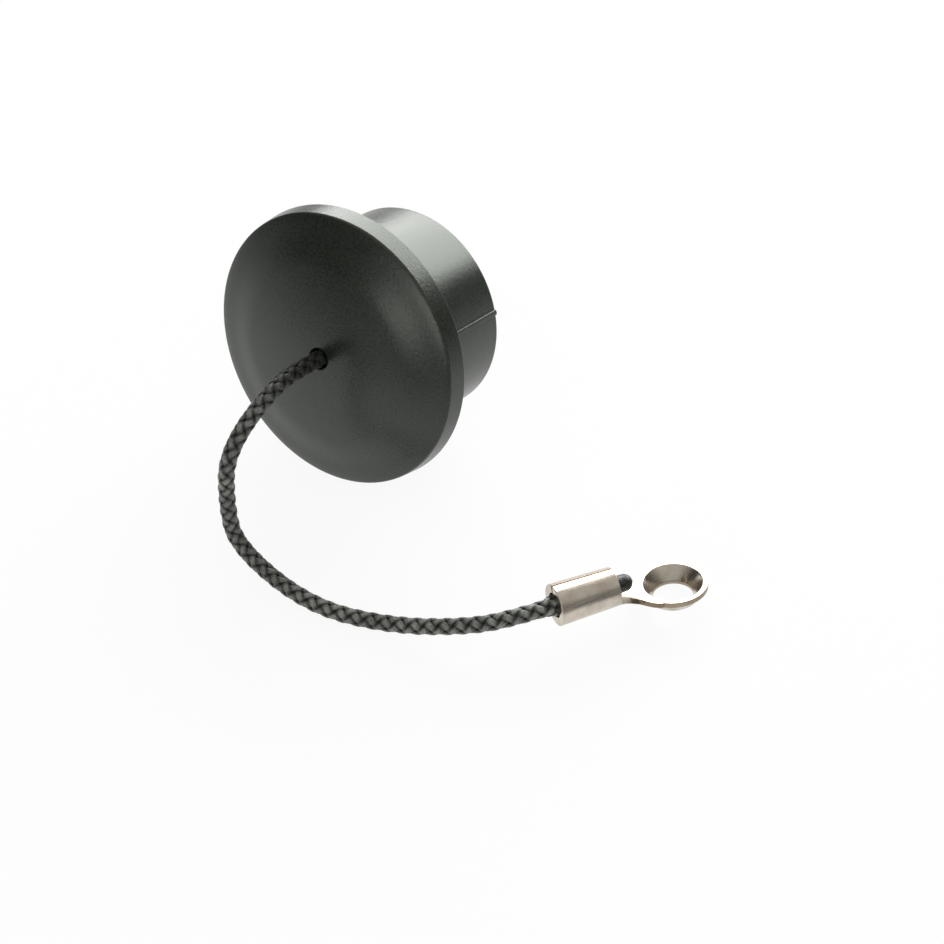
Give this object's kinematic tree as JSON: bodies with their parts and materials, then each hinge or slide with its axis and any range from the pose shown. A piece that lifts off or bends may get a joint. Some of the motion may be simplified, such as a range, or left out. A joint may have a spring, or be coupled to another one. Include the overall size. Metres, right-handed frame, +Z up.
{
  "type": "xlr_dummy_plug",
  "caption": "Domed plastic cap with a plain sleeve that plugs a round audio socket, kept from loss by a braided cord with a metal eyelet.",
  "frame": {"origin": "on the table under the middle of the cap's own box, the cap lying on its side as it comes to rest", "axes": "+Z up from the table, the cap's domed face looks along -Y and a little upwards, +X towards the side where the eyelet lies"},
  "size_m": [0.0496, 0.0305, 0.0244],
  "materials": {
    "cap_plastic": "fine grained black moulding",
    "cord_braid": "black braided cord",
    "eyelet_metal": "bright plated pressing"
  },
  "bodies": {
    "root": {"cap": "cap_plastic", "cord": "cord_braid", "cord_knot": "cord_braid", "eyelet": "eyelet_metal"}
  },
  "joints": []
}
